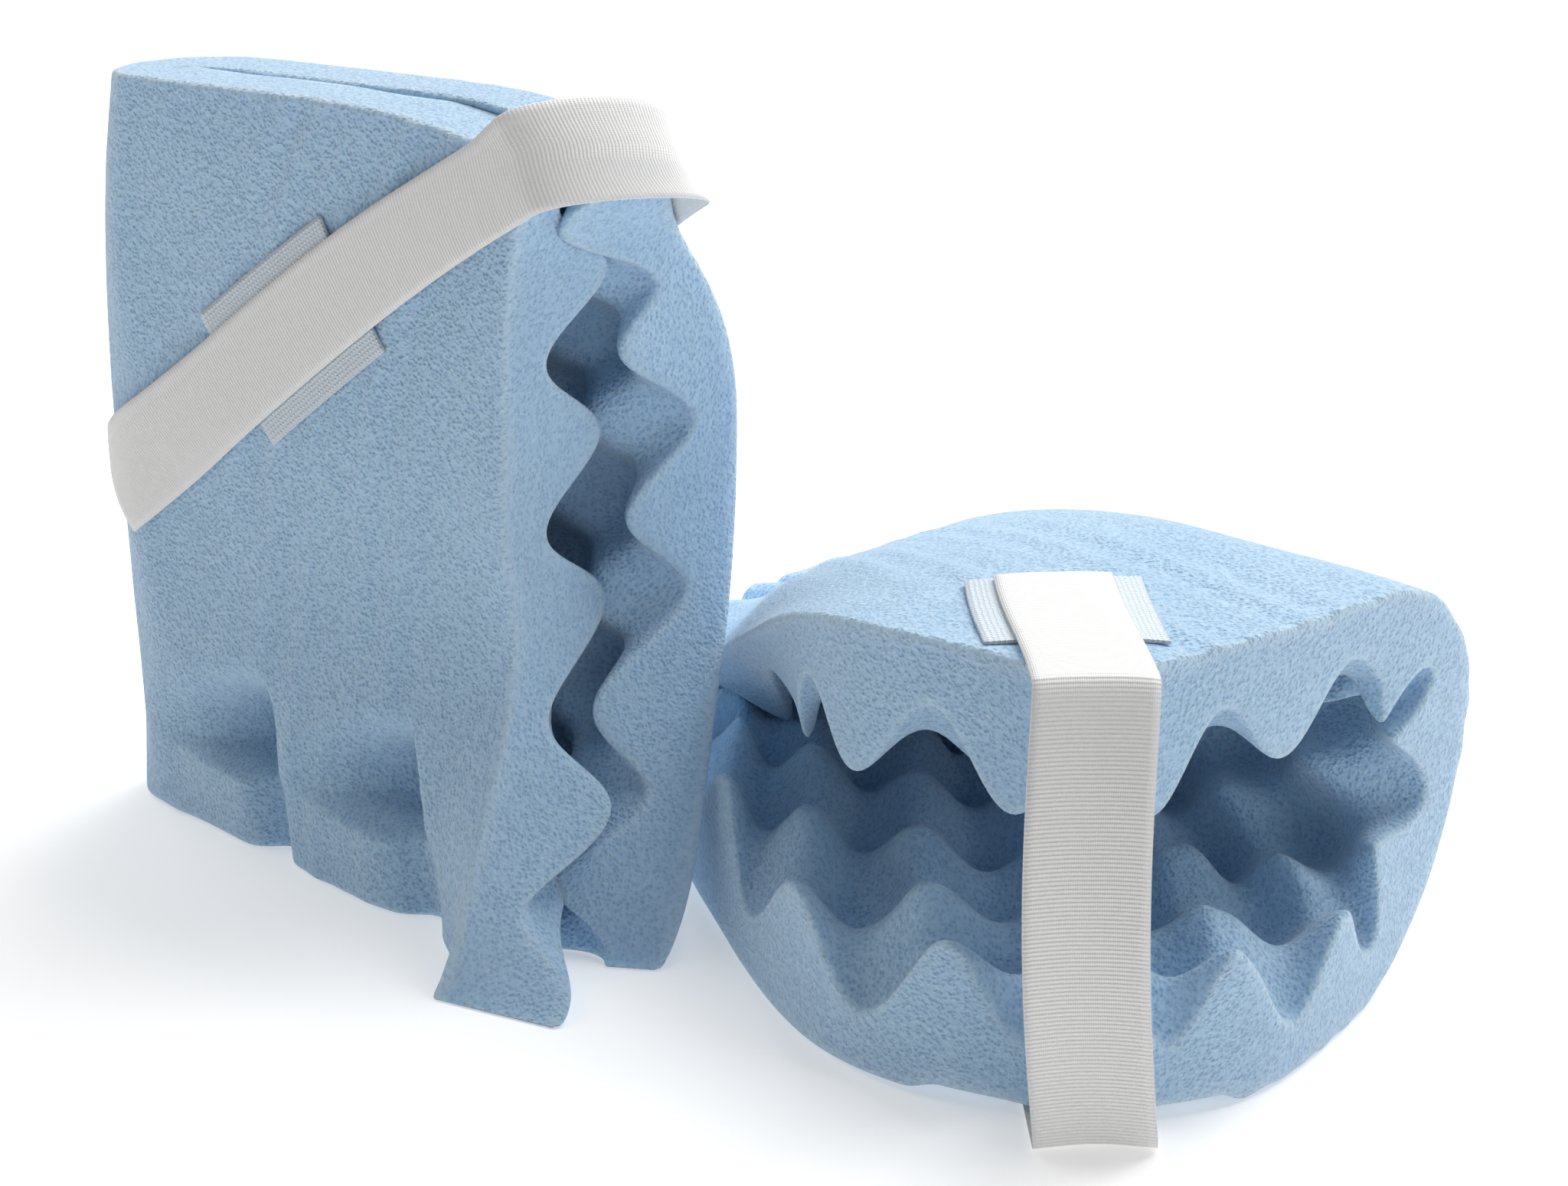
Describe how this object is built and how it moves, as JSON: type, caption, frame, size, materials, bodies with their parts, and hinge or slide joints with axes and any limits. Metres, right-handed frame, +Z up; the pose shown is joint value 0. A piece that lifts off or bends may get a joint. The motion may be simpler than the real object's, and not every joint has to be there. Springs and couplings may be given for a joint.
{
  "type": "foam heel protector pair",
  "caption": "Pair of folded egg-crate foam heel protectors, one standing and one lying, each closed by a ribbed loop strap over hook-tape patches.",
  "frame": {"origin": "on the ground, under the middle of the pair's bounding box", "axes": "+Z up; +X from the standing protector to the lying one; +Y away from the open corners"},
  "size_m": [0.4973, 0.3412, 0.2971],
  "materials": {
    "foam": "open-cell polyurethane foam, matt",
    "strap": "ribbed brushed loop tape",
    "hook_tape": "translucent moulded hook tape",
    "nylon": "clear nylon"
  },
  "bodies": {
    "standing_protector": {"standing_foam": "foam", "standing_strap_fixed": "strap", "standing_patch_near": "hook_tape", "standing_patch_far": "hook_tape", "standing_tag_1": "nylon", "standing_tag_2": "nylon"},
    "standing_strap": {"standing_strap_free": "strap"},
    "lying_protector": {"lying_foam": "foam", "lying_strap_fixed": "strap", "lying_patch_near": "hook_tape", "lying_patch_far": "hook_tape", "lying_tag_1": "nylon", "lying_tag_2": "nylon"},
    "lying_strap": {"lying_strap_free": "strap"}
  },
  "joints": [
    {"name": "standing_strap_open", "type": "hinge", "parent": "standing_protector", "child": "standing_strap", "pos_m": [-0.02115, 0.0042, 0.26375], "axis": [-0.4509, 0.1198, 0.8845], "range_deg": [0, 50]},
    {"name": "lying_apart", "type": "slide", "parent": "standing_protector", "child": "lying_protector", "axis": [1, 0, 0], "range_m": [0, 0.3]},
    {"name": "lying_strap_open", "type": "hinge", "parent": "lying_protector", "child": "lying_strap", "pos_m": [0.10513, -0.16254, 0], "axis": [0.9999, 0.014, 0], "range_deg": [0, 70]}
  ]
}
